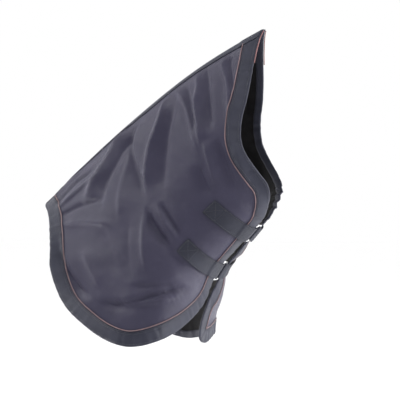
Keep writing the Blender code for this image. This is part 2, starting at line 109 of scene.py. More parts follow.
# Lifts of the layers over the form.
SHELL_OUT = 0.0012
LINING_OUT = -0.0008
LINING_IN = -0.0016
BIND_TOP = 0.0029
BIND_LOW = -0.0032
BIND_THICK = 0.0010
BIND_SEAMS = (0.0365, 0.0325, 0.0045)  # reach of the binding's stitch rows
SEAM_LIFT = 0.0002
PIPE_RADIUS = 0.0014
PIPE_REACH = 0.0426
PIPE_LIFT = 0.0032
TRIM_RADIUS = 0.0015
TRIM_OUT = 0.0045
TRIM_SPAN = (0.25, 3.0)  # layout positions the poll trim runs between
TAPE_LIFT = 0.0018
TAPE_THICK = 0.0010
TAPE_COLUMNS = np.array([0.0200, 0.0160, 0.0120, 0.0080, 0.0040, 0.0010])
TAPE_ROWS = 150
TAPE_SEAM = 0.0165  # reach of the crest tape's stitch row
TAPE_SEAM_END = 1.9  # layout steps the row stops short of the ends

# Fastenings: sewn station and turn, ring station.
FASTENINGS = {"upper": (0.390, 121.5, 0.375), "lower": (0.215, 129.5, 0.182)}
BAND_HALF = 0.025
BAND_THICK = 0.0015
BAND_LIFT = 0.0036
BAND_LIFT_EDGE = 0.0066  # of a band where it crosses the binding
EDGE_ZONE = 0.052  # a band rises over the binding this near the edge,
EDGE_SOFT = 0.008  # over this distance
BAND_SEAM = 0.88  # of the half width, where the bands are stitched
BAND_SEAM_LIFT = 0.0003
SEAM_INSET = 0.003  # of a stitch row from a band's end
BOX_LENGTH = 0.042  # of the stitched box at the sewn end
RING_FREE = 0.012  # the stitching stops this far from the ring
STRAP_BOX = 0.030
TAIL = 0.003  # of the band's end past the fold round the ring
RING_BAR = 0.0130  # of the ring's long bars from its middle
RING_HALF = 0.0300
RING_WIRE = 0.0024
RING_FILLET = 0.0045
EYE_CLEAR = 0.0008
STRAP_LENGTH = 0.115
PAD_FROM = 0.056  # of the touch pads, from the leaf's edge
PAD_TO = 0.107
PAD_HALF = 0.022
PAD_LIFT = 0.0038
PAD_THICK = 0.0010
HOOK_LIFT = 0.0056
STRAP_LIFT = 0.0076

# Folds as (height, half width, [(along, turn), ...]), from the crest down: a
# ridge stands out, a crease (negative height) sinks in.
FOLDS_RIGHT = [
    (0.0075, 0.013, [(0.60, 10), (0.555, 23), (0.50, 40), (0.407, 56), (0.307, 74),
                     (0.24, 91)]),
    (-0.0065, 0.011, [(0.43, 20), (0.375, 36), (0.32, 60), (0.265, 84), (0.24, 91)]),
    (-0.0060, 0.017, [(0.62, 26), (0.54, 48), (0.45, 66), (0.36, 82), (0.29, 96)]),
    (-0.0100, 0.009, [(0.25, 89), (0.222, 99), (0.20, 116), (0.18, 132), (0.145, 144)]),
    (0.0065, 0.007, [(0.265, 92), (0.238, 108), (0.212, 124), (0.19, 138)]),
    (-0.0060, 0.007, [(0.285, 93), (0.26, 108), (0.235, 124), (0.215, 134)]),
    (0.0060, 0.013, [(0.25, 88), (0.19, 98), (0.13, 107), (0.05, 120)]),
    (-0.0020, 0.012, [(0.20, 84), (0.13, 94), (0.05, 106), (-0.01, 114)]),
    (0.0085, 0.020, [(0.40, 8), (0.36, 18), (0.28, 34), (0.18, 45), (0.10, 54)]),
    (-0.0045, 0.013, [(0.45, 18), (0.40, 31), (0.297, 46), (0.187, 59), (0.12, 70)]),
    (0.0025, 0.012, [(0.36, 44), (0.28, 58), (0.20, 72), (0.13, 86)]),
    (0.0055, 0.010, [(0.72, 8), (0.70, 24), (0.69, 39), (0.657, 51), (0.62, 70),
                     (0.57, 88)]),
    (-0.0050, 0.012, [(0.755, 14), (0.745, 36), (0.72, 58), (0.68, 80)]),
    (0.0050, 0.009, [(0.83, 12), (0.812, 30), (0.822, 50), (0.802, 72), (0.77, 90)]),
    (-0.0040, 0.010, [(0.86, 20), (0.85, 42), (0.84, 64)]),
    (0.0045, 0.012, [(0.60, 12), (0.61, 34), (0.612, 51), (0.585, 70), (0.54, 90)]),
    (-0.0045, 0.011, [(0.65, 14), (0.65, 36), (0.635, 56), (0.60, 76)]),
    (0.0040, 0.008, [(0.02, 36), (0.08, 38), (0.15, 41), (0.21, 46)]),
    (-0.0040, 0.007, [(0.02, 30), (0.09, 28), (0.17, 30), (0.23, 36)]),
    (-0.0045, 0.009, [(0.01, 42), (0.06, 47), (0.12, 55), (0.17, 66)]),
    (0.0045, 0.011, [(-0.01, 50), (0.04, 59), (0.09, 73), (0.12, 86)]),
    (0.0035, 0.007, [(0.03, 20), (0.10, 18), (0.18, 20)]),
    (-0.0090, 0.012, [(-0.16, 98), (-0.07, 117), (0.017, 132), (0.105, 158)]),
    (0.0070, 0.011, [(-0.13, 106), (-0.048, 124), (0.057, 154)]),
    (-0.0040, 0.010, [(-0.02, 112), (0.04, 128), (0.10, 146)]),
    (-0.0085, 0.012, [(-0.02, 54), (-0.11, 70), (-0.155, 84), (-0.165, 98)]),
    (0.0030, 0.018, [(0.00, 74), (-0.06, 86), (-0.10, 100)]),
    (-0.0020, 0.018, [(0.10, 76), (0.05, 90), (-0.01, 104)]),
    (0.0045, 0.014, [(0.62, 80), (0.57, 98), (0.50, 116)]),
    (-0.0040, 0.012, [(0.70, 84), (0.68, 104), (0.62, 126)]),
    (0.0045, 0.011, [(0.76, 92), (0.76, 112), (0.72, 134)]),
    (-0.0040, 0.012, [(0.52, 92), (0.47, 108), (0.43, 120)]),
]
FOLDS_LEFT = [
    (0.0080, 0.016, [(0.58, 18), (0.51, 40), (0.43, 58), (0.36, 78)]),
    (-0.0060, 0.012, [(0.44, 26), (0.37, 52), (0.30, 80)]),
    (0.0075, 0.020, [(0.36, 16), (0.26, 34), (0.18, 50)]),
    (-0.0060, 0.016, [(0.30, 40), (0.20, 62), (0.12, 84)]),
    (0.0070, 0.014, [(0.26, 86), (0.18, 104), (0.07, 120)]),
    (-0.0060, 0.010, [(0.30, 96), (0.25, 112), (0.20, 128)]),
    (0.0055, 0.011, [(0.73, 14), (0.70, 36), (0.66, 58)]),
    (-0.0040, 0.012, [(0.79, 18), (0.77, 44), (0.74, 66)]),
    (0.0050, 0.012, [(0.85, 20), (0.83, 48), (0.80, 78)]),
    (0.0045, 0.014, [(0.62, 50), (0.60, 76), (0.53, 104)]),
    (-0.0065, 0.012, [(-0.15, 98), (-0.07, 116), (0.02, 134), (0.08, 158)]),
    (0.0065, 0.012, [(-0.10, 118), (-0.03, 134), (0.04, 156)]),
    (-0.0060, 0.014, [(-0.04, 60), (-0.12, 74), (-0.16, 90)]),
    (0.0055, 0.018, [(0.03, 78), (-0.04, 92), (-0.09, 108)]),
    (0.0040, 0.010, [(0.03, 34), (0.10, 38), (0.17, 44)]),
    (-0.0040, 0.010, [(0.02, 46), (0.08, 54), (0.13, 66)]),
    (-0.0045, 0.012, [(0.70, 92), (0.68, 112), (0.62, 132)]),
    (0.0062, 0.060, [(0.34, 155), (0.16, 159), (-0.04, 165)]),
]
FOLD_SCALE = 1.8
FOLD_STEEP = 0.50  # spread of a fold's steep side, facing up
FOLD_BROAD = 1.55  # and of its long side
FOLD_SHARP = 0.25  # roundness of a fold's top as a share of its width
FOLD_TAPER = 0.28  # share of a fold's length over which it rises
FOLD_POINTS = 40
# Unevenness of the cloth: height, scale and drift of each noise.
SWELL, RIPPLE, CRUMPLE = (0.0034, 7, 1), (0.0009, 19, -1), (0.0006, 46, 1)
PUCKER_DEPTH = 0.0010  # of the gathers along the sewn edge,
PUCKER_REACH = 0.05  # which die away this far in
THROAT_RIPPLE = 0.0034  # of the left leaf's front edge below the throat
BAND_CORE = 0.018  # folds are pressed flat this near a band's centre,
BAND_FLAT = 0.045  # and rise again over this distance
PRESSED = 0.12  # share of a fold's height that is left under a band
CREST_FLAT = 0.035  # folds rise over this distance from the crest

# ---- neck form


def through(knots, values, at):
    """Smooth curve through rows of values at the given knots."""
    slope = np.gradient(values, knots, axis=0, edge_order=2)
    seg = np.clip(np.searchsorted(knots, at) - 1, 0, len(knots) - 2)
    span = knots[seg + 1] - knots[seg]
    x = ((at - knots[seg]) / span)[..., None]
    span = span[..., None]
    return ((2 * x**3 - 3 * x**2 + 1) * values[seg]
            + (x**3 - 2 * x**2 + x) * span * slope[seg]
            + (3 * x**2 - 2 * x**3) * values[seg + 1]
            + (x**3 - x**2) * span * slope[seg + 1])


def station(along):
    """The neck form's row of measures at a station."""
    return through(STATIONS[:, 0], STATIONS[:, 1:], np.asarray(along, float))


SEAT_ROW = station(SEAT)


def form(along, turn):
    """Point on the neck form, turn 0 to 180 on the right side."""
    angle = np.radians(np.asarray(turn, float))
    row = station(along)
    drop = (1 - np.cos(angle)) / 2
    x = row[..., 0] + (row[..., 2] - row[..., 0]) * drop
    z = row[..., 1] + (row[..., 3] - row[..., 1]) * drop
    y = -row[..., 4] * np.sin(angle) * (1 - row[..., 5] * np.cos(angle))
    y = y * (1 + row[..., 6] * drop**4)
    return np.stack([x - SEAT_ROW[0], y, z - SEAT_ROW[1]], -1)


def slopes(along, turn):
    """Change of the form's point per unit along and per degree of turn."""
    ds = (form(along + 0.002, turn) - form(along - 0.002, turn)) / 0.004
    dt = (form(along, turn + 0.4) - form(along, turn - 0.4)) / 0.8
    return ds, dt


def unit(v):
    return v / np.linalg.norm(v, axis=-1, keepdims=True)


def outward(along, turn):
    """Unit normal of the form."""
    ds, dt = slopes(along, turn)
    return unit(np.cross(dt, ds))


def walk(along, turn, move, parts=10):
    """Follow the form from each point, starting along its short vector."""
    along = along.copy()
    turn = turn.copy()
    length = np.linalg.norm(move, axis=-1) / parts
    way = unit(move)
    for _ in range(parts):
        ds, dt = slopes(along, turn)
        aa = (ds * ds).sum(-1)
        ab = (ds * dt).sum(-1)
        bb = (dt * dt).sum(-1)
        p = (way * ds).sum(-1)
        q = (way * dt).sum(-1)
        det = aa * bb - ab * ab
        step_a = (p * bb - q * ab) / det
        step_t = (q * aa - p * ab) / det
        way = ds * step_a[:, None] + dt * step_t[:, None]
        size = np.linalg.norm(way, axis=-1)
        way = way / size[:, None]
        along += step_a * length / size
        turn += step_t * length / size
    return along, turn


def crest_turn(along):
    """Turn at which a leaf's crest edge lies."""
    row = station(along)
    return np.degrees(CREST_CLEAR / (row[..., 4] * (1 - row[..., 5])))


def distances(spots):
    """Distance run at each point of a path."""
    steps = np.linalg.norm(np.diff(spots, axis=0), axis=1)
    return np.concatenate([[0], np.cumsum(steps)])


def even(path, step):
    """Evenly spaced points on the smooth chart curve through a path."""
    path = np.array(path, float)
    chord = distances(form(*path.T))
    dense = through(chord, path, np.linspace(0, chord[-1], 60 * len(path)))
    run = distances(form(*dense.T))
    want = np.linspace(0, run[-1], max(1, round(run[-1] / step)) + 1)
    return np.stack([np.interp(want, run, dense[:, k]) for k in (0, 1)], -1)


def leaf_layout(side, hem):
    """Edge points and inner rings of one leaf, as in the CAD.

    The whole rings mitre the corners and make the cloth. The sewn rings are
    cut off along the crest, and carry what is sewn along the edge."""
    edge = even(FRONT_EDGE + CLOSURE_EDGE + hem, EDGE_STEP)
    crest = even([(a, 0.0) for a in np.linspace(hem[-1][0], 1.0, 9)], CREST_STEP)
    loop = np.concatenate([edge, crest[1:-1]])
    loop[:, 1] = np.maximum(loop[:, 1], crest_turn(loop[:, 0]))
    n = len(loop)
    corners = (0, len(edge) - 1)
    spots = form(*loop.T)
    normal = outward(*loop.T)
    before = unit(spots - np.roll(spots, 1, 0))
    after = unit(np.roll(spots, -1, 0) - spots)
    side_b = np.cross(after, normal)
    mean = unit(np.cross(before, normal) + side_b)
    inward = mean / np.maximum(MITRE_LIMIT, (mean * side_b).sum(-1))[:, None]
    for c in corners:
        for way in (1, -1):
            total = 0.0
            k = c
            while True:
                step = spots[(k + way) % n] - spots[k]
                total += np.linalg.norm(step)
                k = (k + way) % n
                if total >= CORNER_REACH:
                    break
                lean = float(np.dot(inward[c], unit(step)))
                inward[k] = inward[k] + unit(step) * lean * (1 - total / CORNER_REACH)
    c = corners[1]

    def rings(part, inward):
        made = [loop[part]]
        for level in (1, 2):
            move = inward * RING_STEP * level
            made.append(np.stack(walk(*loop[part].T, move), -1))
        return made

    whole = rings(np.arange(n), inward)
    edge_part = np.arange(c + 1)
    crest_part = np.append(np.arange(c, n), 0)

    def lean(corner):
        """Cotangent of the leaf's angle at a corner."""
        a = unit(spots[(corner + 1) % n] - spots[corner])
        b = unit(spots[corner - 1] - spots[corner])
        return float(a @ b) / float(np.linalg.norm(np.cross(a, b)))

    sewn = []
    for part in (edge_part, crest_part):
        tangent = unit(np.gradient(spots[part], axis=0))
        run = distances(spots[part])
        slant = (lean(part[0]) * np.maximum(0, 1 - run / CORNER_FADE)
                 - lean(part[-1]) * np.maximum(0, 1 - (run[-1] - run) / CORNER_FADE))
        square = np.cross(tangent, normal[part])
        sewn.append(rings(part, square + tangent * slant[:, None]))
    mesh_rows = [[ring[part] for ring in whole] for part in (edge_part, crest_part)]
    return dict(side=side, n=n, corner=c, sewn=sewn, mesh_rows=mesh_rows)


def paired(at, reach):
    return np.broadcast_arrays(np.asarray(at, float), np.asarray(reach, float))


def rim(leaf, at, reach, rows_from="sewn"):
    """(along, turn) at a layout position and a distance in from the edge."""
    at, reach = paired(at, reach)
    c, n = leaf["corner"], leaf["n"]
    rows = []
    for edge_ring, crest_ring in zip(*leaf[rows_from]):
        edge = through(np.arange(c + 1.0), edge_ring, np.clip(at, 0, c))
        crest = through(np.arange(c, n + 1.0), crest_ring, np.clip(at, c, n))
        rows.append(np.where((at <= c)[..., None], edge, crest))
    q = (reach / RING_STEP)[..., None]
    return ((q - 1) * (q - 2) / 2 * rows[0] + q * (2 - q) * rows[1]
            + q * (q - 1) / 2 * rows[2])


def smooth(x):
    """Soft step from 0 to 1."""
    x = np.clip(x, 0, 1)
    return x * x * (3 - 2 * x)


# ---- folds


def fold_guides(folds):
    """Each fold as a height, a width, points, ways across and a taper."""
    guides = []
    for height, width, path in folds:
        path = np.array(path, float)
        chord = distances(form(*path.T))
        at = np.linspace(0, chord[-1], FOLD_POINTS)
        line = through(chord, path, at)
        share = at / chord[-1]
        taper = smooth(share / FOLD_TAPER) * smooth((1 - share) / FOLD_TAPER)
        spots = form(*line.T)
        across = np.cross(unit(np.gradient(spots, axis=0)), outward(*line.T))
        guides.append((height * FOLD_SCALE, width, spots, across, taper))
    return guides


def band_line(sewn, sewn_turn, ring_at):
    """Points down the middle of a closure band."""
    f = np.linspace(0, 1, 24)
    return form(sewn + (ring_at - sewn) * f, sewn_turn + (178 - sewn_turn) * f)


GUIDES = {-1: fold_guides(FOLDS_RIGHT), 1: fold_guides(FOLDS_LEFT)}
BAND_LINES = np.concatenate([band_line(*places) for places in FASTENINGS.values()])


def nearest(spots, line):
    """Distance to a line of points, and the index of the nearest one."""
    gap = np.linalg.norm(spots[:, None, :] - line[None], axis=-1)
    best = gap.argmin(1)
    return gap[np.arange(len(spots)), best], best


def relief(along, turn, side):
    """Height of the folds over the form."""
    shape = np.broadcast(along, turn).shape
    along, turn = (np.broadcast_to(v, shape).ravel() for v in (along, turn))
    spots = form(along, turn)
    total = np.zeros(len(spots))
    for height, width, line, across, taper in GUIDES[side]:
        gap, best = nearest(spots, line)
        beside = ((spots - line[best]) * across[best]).sum(-1) * height
        width = width * np.where(beside < 0, FOLD_BROAD, FOLD_STEEP)
        soft = FOLD_SHARP * width
        total += height * taper[best] * np.exp((soft - np.hypot(gap, soft)) / width)
    drift = np.array([0.0, 7.3 * side, 2.1])
    total += sum(size * np.array([noise(Vector(p * scale + way * drift)) for p in spots])
                 for size, scale, way in (SWELL, RIPPLE, CRUMPLE))
    gap, _ = nearest(spots, BAND_LINES)
    total *= PRESSED + (1 - PRESSED) * smooth((gap - BAND_CORE) / BAND_FLAT)
    total *= smooth(np.abs(spots[:, 1]) / CREST_FLAT)
    return total.reshape(shape)


def pucker(leaf, at, reach):
    """Small gathers along the sewn edge, dying away inside the binding."""
    at, reach = paired(at, reach)
    place = rim(leaf, at, 0.0)
    turn = place[..., 1]
    wave = (np.sin(at * 8.1 + 1.3 * np.sin(at * 1.7))
            + 0.6 * np.sin(at * 13.7 + leaf["side"]))
    size = PUCKER_DEPTH * (0.6 + 0.4 * np.sin(at * 0.9 + leaf["side"]))
    total = size * wave * smooth(1.25 - reach / PUCKER_REACH)
    if leaf["side"] > 0:
        ripple = smooth((turn - 139) / 6) * smooth((168 - turn) / 5)
        total = total + (THROAT_RIPPLE * ripple * np.sin(at * 2 * math.pi / 0.66)
                         * smooth(1.1 - reach / PUCKER_REACH))
    spots = form(place[..., 0], place[..., 1]).reshape(-1, 3)
    gap, _ = nearest(spots, BAND_LINES)
    total = total * smooth((gap.reshape(at.shape) - 0.028) / 0.03)
    return total * smooth(np.minimum(at, leaf["corner"] - at) / 2.5 - 0.5)


def surface(along, turn, side, lift, extra=0.0):
    """Point over a leaf: the form, its folds and a lift along the normal."""
    total = relief(along, turn, side) + lift + extra
    spot = form(along, turn) + outward(along, turn) * total[..., None]
    spot[..., 1] *= -side
    return spot


def rim_surface(leaf, at, reach, lift):
    """Point over a leaf's edge strip, its gathers included."""
    place = rim(leaf, at, reach)
    return surface(place[..., 0], place[..., 1], leaf["side"], lift,
                   pucker(leaf, at, np.maximum(reach, 0)))


# ---- meshes


def new_mesh(name, spots, faces, uv=None):
    """Smooth shaded object, its faces turned outward."""
    mesh = bpy.data.meshes.new(name)
    mesh.from_pydata([tuple(map(float, p)) for p in spots], [],
                     [tuple(map(int, f)) for f in faces])
    if uv is not None:
        layer = mesh.uv_layers.new(name="pattern")
        index = np.empty(len(mesh.loops), int)
        mesh.loops.foreach_get("vertex_index", index)
        layer.data.foreach_set("uv", np.asarray(uv, float)[index].ravel())
    mesh.polygons.foreach_set("use_smooth", [True] * len(mesh.polygons))
    obj = bpy.data.objects.new(name, mesh)
    bpy.context.scene.collection.objects.link(obj)
    bm = bmesh.new()
    bm.from_mesh(mesh)
    bmesh.ops.recalc_face_normals(bm, faces=bm.faces[:])
    bm.to_mesh(mesh)
    bm.free()
    return obj


def slab(name, top, low, faces, loop, uv):
    """Closed sheet between two copies of a triangle mesh."""
    n = len(top)
    sides = faces + [(a + n, c + n, b + n) for a, b, c in faces]
    for a, b in zip(loop, np.roll(loop, -1)):
        sides.append((a, a + n, b + n, b))
    return new_mesh(name, np.concatenate([top, low]), sides, np.concatenate([uv, uv]))


def tube_rows(name, section_rows, closed_rows=False, uv=None):
    """Closed body from rows of closed section loops."""
    rows = np.array(section_rows)
    count, m = rows.shape[:2]
    faces = []
    for r in range(count if closed_rows else count - 1):
        s = (r + 1) % count
        for k in range(m):
            j = (k + 1) % m
            faces.append((r * m + k, r * m + j, s * m + j, s * m + k))
    spots = rows.reshape(-1, 3)
    if not closed_rows:
        first, last = len(spots), len(spots) + 1
        spots = np.concatenate([spots, [rows[0].mean(0), rows[-1].mean(0)]])
        for k in range(m):
            j = (k + 1) % m
            faces.append((j, k, first))
            faces.append(((count - 1) * m + k, (count - 1) * m + j, last))
        if uv is not None:
            uv = np.concatenate([uv, [uv[0], uv[-1]]])
    return new_mesh(name, spots, faces, uv)


def round_tube(name, path, radius, sides, closed=False):
    """Round cord or wire along a path."""
    if closed:
        tangent = unit(np.roll(path, -1, 0) - np.roll(path, 1, 0))
    else:
        tangent = unit(np.gradient(path, axis=0))
    up = unit(np.cross(tangent[0], [0.3, 0.2, 0.9]))
    frames = []
    for t in tangent:
        up = unit(up - t * np.dot(up, t))
        frames.append((up, np.cross(t, up)))
    run = distances(path)
    rows = []
    uv = []
    ang = np.linspace(0, 2 * math.pi, sides, endpoint=False)
    for k, (a, b) in enumerate(frames):
        rows.append(path[k] + radius * (np.cos(ang)[:, None] * a
                                        + np.sin(ang)[:, None] * b))
        uv += [(run[k], q * radius) for q in ang]
    return tube_rows(name, rows, closed, np.array(uv))


def stitches(name, runs, stitch=0.0046, gap=0.0021, half=0.00055):
    """Short sewing threads along runs of (points, normals)."""
    spots = []
    faces = []
    for path, normal in runs:
        run = distances(path)
        count = max(1, int(run[-1] / (stitch + gap)))
        pitch = run[-1] / count
        share = stitch / (stitch + gap)
        for k in range(count):
            at = pitch * (k + np.array([0.0, 0.25, 0.75, 1.0]) * share + (1 - share) / 2)
            line = np.stack([np.interp(at, run, path[:, d]) for d in range(3)], -1)
            n = unit([np.interp(at[1], run, normal[:, d]) for d in range(3)])
            side = unit(np.cross(line[3] - line[0], n))
            base = len(spots)
            low = n * half * 0.6
            spots += [line[0] - low, line[3] - low]
            for p in (line[1], line[2]):
                spots += [p + side * half, p + n * half * 0.9, p - side * half,
                          p - low]
            for q in range(4):
                w = (q + 1) % 4
                faces.append((base, base + 2 + w, base + 2 + q))
                faces.append((base + 2 + q, base + 2 + w, base + 6 + w, base + 6 + q))
                faces.append((base + 1, base + 6 + q, base + 6 + w))
    return new_mesh(name, spots, faces, np.array(spots)[:, :2])


# ---- materials


class Paint:
    """A node material with a Principled shader."""

    def __init__(self, name, rough, metallic=0.0, sheen=0.0, specular=0.12):
        self.mat = bpy.data.materials.new(name)
        self.mat.use_nodes = True
        self.tree = self.mat.node_tree
        self.shader = self.tree.nodes["Principled BSDF"]
        for socket, value in (("Roughness", rough), ("Metallic", metallic),
                              ("Sheen Weight", sheen), ("Sheen Roughness", 0.45),
                              ("Specular IOR Level", specular)):
            self.shader.inputs[socket].default_value = value

    def node(self, kind, **values):
        made = self.tree.nodes.new("ShaderNode" + kind)
        for key, value in values.items():
            setattr(made, key, value)
        return made

    def link(self, source, target):
        self.tree.links.new(source, target)

    def math(self, operation, *values):
        """Math node over numbers and outputs of other nodes."""
        made = self.node("Math", operation=operation)
        for k, v in enumerate(values):
            if isinstance(v, (int, float)):
                made.inputs[k].default_value = v
            else:
                self.link(v, made.inputs[k])
        return made.outputs[0]

    def coat(self, colour):
        self.link(colour, self.shader.inputs["Base Color"])

    def pattern(self):
        """Lengthways and crossways place on a strip or sheet, in metres."""
        made = self.node("UVMap", uv_map="pattern")
        parts = self.node("SeparateXYZ")
        self.link(made.outputs[0], parts.inputs[0])
        return parts.outputs[0], parts.outputs[1]

    def noise(self, scale, detail=3.0, stretch=(1, 1, 1)):
        place = self.node("TexCoord")
        mapping = self.node("Mapping")
        mapping.inputs["Scale"].default_value = stretch
        self.link(place.outputs["Object"], mapping.inputs[0])
        made = self.node("TexNoise")
        made.inputs["Scale"].default_value = scale
        made.inputs["Detail"].default_value = detail
        self.link(mapping.outputs[0], made.inputs["Vector"])
        return made.outputs[0]

    def ramp(self, fac, low, high, start=0.3, end=0.7):
        made = self.node("ValToRGB")
        ends = zip(made.color_ramp.elements, (start, end), (low, high))
        for element, element.position, colour in ends:
            element.color = (*colour, 1)
        self.link(fac, made.inputs[0])
        return made.outputs[0]

    def mix(self, fac, a, b):
        made = self.node("Mix", data_type="RGBA")
        for socket, v in zip((made.inputs[0], *made.inputs[6:8]), (fac, a, b)):
            if isinstance(v, tuple):
                socket.default_value = (*v, 1)
            else:
                self.link(v, socket)
        return made.outputs[2]

    def bump(self, height, strength, distance):
        made = self.node("Bump")
        made.inputs["Strength"].default_value = strength
        made.inputs["Distance"].default_value = distance
        self.link(height, made.inputs["Height"])
        self.link(made.outputs[0], self.shader.inputs["Normal"])

    def ribs(self, period, axis=0):
        """Ribs across the pattern's length (axis 0) or width (1)."""
        run = self.math("MULTIPLY", self.pattern()[axis], 2 * math.pi / period)
        return self.math("SINE", run)

    def weave(self, period):
        """Over-and-under height of a plain weave."""
        return self.math("MULTIPLY", self.ribs(period), self.ribs(period, 1))

    def rough_from(self, fac, low, high):
        made = self.node("MapRange")
        made.inputs["To Min"].default_value = low
        made.inputs["To Max"].default_value = high
        self.link(fac, made.inputs["Value"])
        self.link(made.outputs[0], self.shader.inputs["Roughness"])


def woven(name, dark, light, thread, rough, sheen, period, depth, mottle=9.0):
    """Cloth with a plain weave, soft mottling, painted highlight on the weave's raised
    threads and random specks of dust.
    """
    paint = Paint(name, rough, sheen=sheen)
    cloud = paint.noise(mottle, 4.0)
    colour = paint.ramp(cloud, dark, light)
    height = paint.weave(period)
    # painted highlight: the raised threads of the weave are mixed toward the lighter
    # thread colour, and its hollows are left darker as painted shade
    lift = paint.math("MULTIPLY_ADD", height, 0.5, 0.5)
    colour = paint.mix(paint.math("MULTIPLY", lift, 0.35), colour, thread)
    dust = paint.ramp(paint.noise(60.0, 6.0), (0, 0, 0), (1, 1, 1), 0.56, 0.80)
    paint.coat(paint.mix(paint.math("MULTIPLY", dust, 0.22), colour, thread))
    paint.rough_from(cloud, rough - 0.06, rough + 0.10)
    fine = paint.math("MULTIPLY_ADD", paint.noise(420.0, 2.0), 0.8, height)
    paint.bump(fine, 0.45, depth)
    return paint.mat


def ribbed(name, dark, light, rough, sheen, period, depth, cross=0.0):
    """Grosgrain or webbing: ribs across the length, their shade painted into the colour,
    mottled with wear.
    """
    paint = Paint(name, rough, sheen=sheen)
    cloud = paint.noise(24.0, 4.0)
    rib = paint.ribs(period)
    # painted shade: the rib wave darkens the troughs and lightens the crests of the ribs
    # in the colour
    shade = paint.math("MULTIPLY_ADD", rib, 0.12, cloud)
    paint.coat(paint.ramp(shade, dark, light, 0.25, 0.75))
    paint.rough_from(cloud, rough - 0.05, rough + 0.10)
    height = rib
    if cross:
        height = paint.math("ADD", rib, paint.math("MULTIPLY", paint.ribs(cross, 1), 0.6))
    fine = paint.math("MULTIPLY_ADD", paint.noise(500.0, 2.0), 0.5, height)
    paint.bump(fine, 0.6, depth)
    return paint.mat


def corded(name, dark, light, rough, pitch):
    """Satin cord with slanting threads, their highlight and shade painted into the colour
    as slanting stripes.
    """
    paint = Paint(name, rough, sheen=0.2)
    u, v = paint.pattern()
    slant = paint.math("ADD", u, v)
    wave = paint.math("SINE", paint.math("MULTIPLY", slant, 2 * math.pi / pitch))
    # painted highlight and shade: the twist wave lightens and darkens the colour in
    # slanting stripes
    shade = paint.math("MULTIPLY_ADD", wave, 0.16, paint.noise(40.0, 3.0))
    paint.coat(paint.ramp(shade, dark, light))
    paint.rough_from(wave, rough - 0.05, rough + 0.05)
    paint.bump(wave, 0.6, 0.0003)
    return paint.mat


def fuzzy(name, dark, light):
    """Touch-fastener pile."""
    paint = Paint(name, 0.9, sheen=0.5)
    grain = paint.noise(900.0, 5.0)
    paint.coat(paint.ramp(grain, dark, light, 0.35, 0.65))
    paint.rough_from(grain, 0.8, 1.0)
    paint.bump(grain, 1.0, 0.0012)
    return paint.mat


def plated(name):
    """Nickel plate with faint brushing, smears and worn spots."""
    paint = Paint(name, 0.2, metallic=1.0, specular=0.5)
    smear = paint.noise(120.0, 4.0)
    scratch = paint.noise(260.0, 6.0, (1, 1, 14))
    paint.coat(paint.ramp(smear, (0.60, 0.60, 0.62), (0.86, 0.86, 0.87), 0.25, 0.6))
    paint.rough_from(smear, 0.12, 0.32)
    paint.bump(scratch, 0.15, 0.0002)
    return paint.mat


SHELL_MAT = woven("shell_cloth_material", (0.0145, 0.0135, 0.0265),
                  (0.0205, 0.0188, 0.0345), (0.040, 0.037, 0.060),
                  rough=0.40, sheen=0.04, period=0.0009, depth=0.00025)
LINING_MAT = woven("lining_cloth_material", (0.0030, 0.0027, 0.0033),
                   (0.0052, 0.0047, 0.0055), (0.010, 0.0095, 0.011),
                   rough=0.75, sheen=0.02, period=0.0016, depth=0.0003, mottle=14.0)
BIND_MAT = ribbed("binding_material", (0.0135, 0.0142, 0.0235), (0.0225, 0.0235, 0.0355),
                  rough=0.50, sheen=0.04, period=0.0022, depth=0.0004)
WEB_MAT = ribbed("webbing_material", (0.0098, 0.0106, 0.0170), (0.0165, 0.0175, 0.0268),
                 rough=0.58, sheen=0.04, period=0.0026, depth=0.0005, cross=0.0035)
PIPE_MAT = corded("piping_material", (0.082, 0.049, 0.054), (0.155, 0.099, 0.104),
                  rough=0.42, pitch=0.0022)
TRIM_MAT = corded("poll_trim_material", (0.088, 0.038, 0.040), (0.165, 0.073, 0.074),
                  rough=0.5, pitch=0.0020)
THREAD_MAT = corded("thread_material", (0.0085, 0.0092, 0.0145), (0.019, 0.0205, 0.030),
                    rough=0.55, pitch=0.0010)
METAL_MAT = plated("ring_plate_material")
TOUCH_MAT = fuzzy("touch_pile_material", (0.008, 0.008, 0.010), (0.030, 0.030, 0.036))


def finish_piece(obj, mat, body, nodes=()):
    """Material, body and replaced CAD nodes of a piece."""
    obj.data.materials.clear()
    obj.data.materials.append(mat)
    if body:
        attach(obj, body)
    if nodes:
        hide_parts(*nodes)
    return obj


# ---- leaves

LEAVES = {
    "right": leaf_layout(-1, HEM_RIGHT),
    "left": leaf_layout(1, HEM_LEFT),
}


def inside_polygon(points, poly):
    """Whether each point lies in the polygon, and its distance to it."""
    inside = np.zeros(len(points), bool)
    near = np.full(len(points), 1e9)
    for a, b in zip(poly, np.roll(poly, -1, 0)):
        crosses = (a[1] > points[:, 1]) != (b[1] > points[:, 1])
        with np.errstate(divide="ignore", invalid="ignore"):
            cut = a[0] + (points[:, 1] - a[1]) / (b[1] - a[1]) * (b[0] - a[0])
        inside ^= crosses & (points[:, 0] < cut)
        d = b - a
        f = np.clip(((points - a) @ d) / (d @ d), 0, 1)
        near = np.minimum(near, np.linalg.norm(points - a - f[:, None] * d, axis=1))
    return inside, near


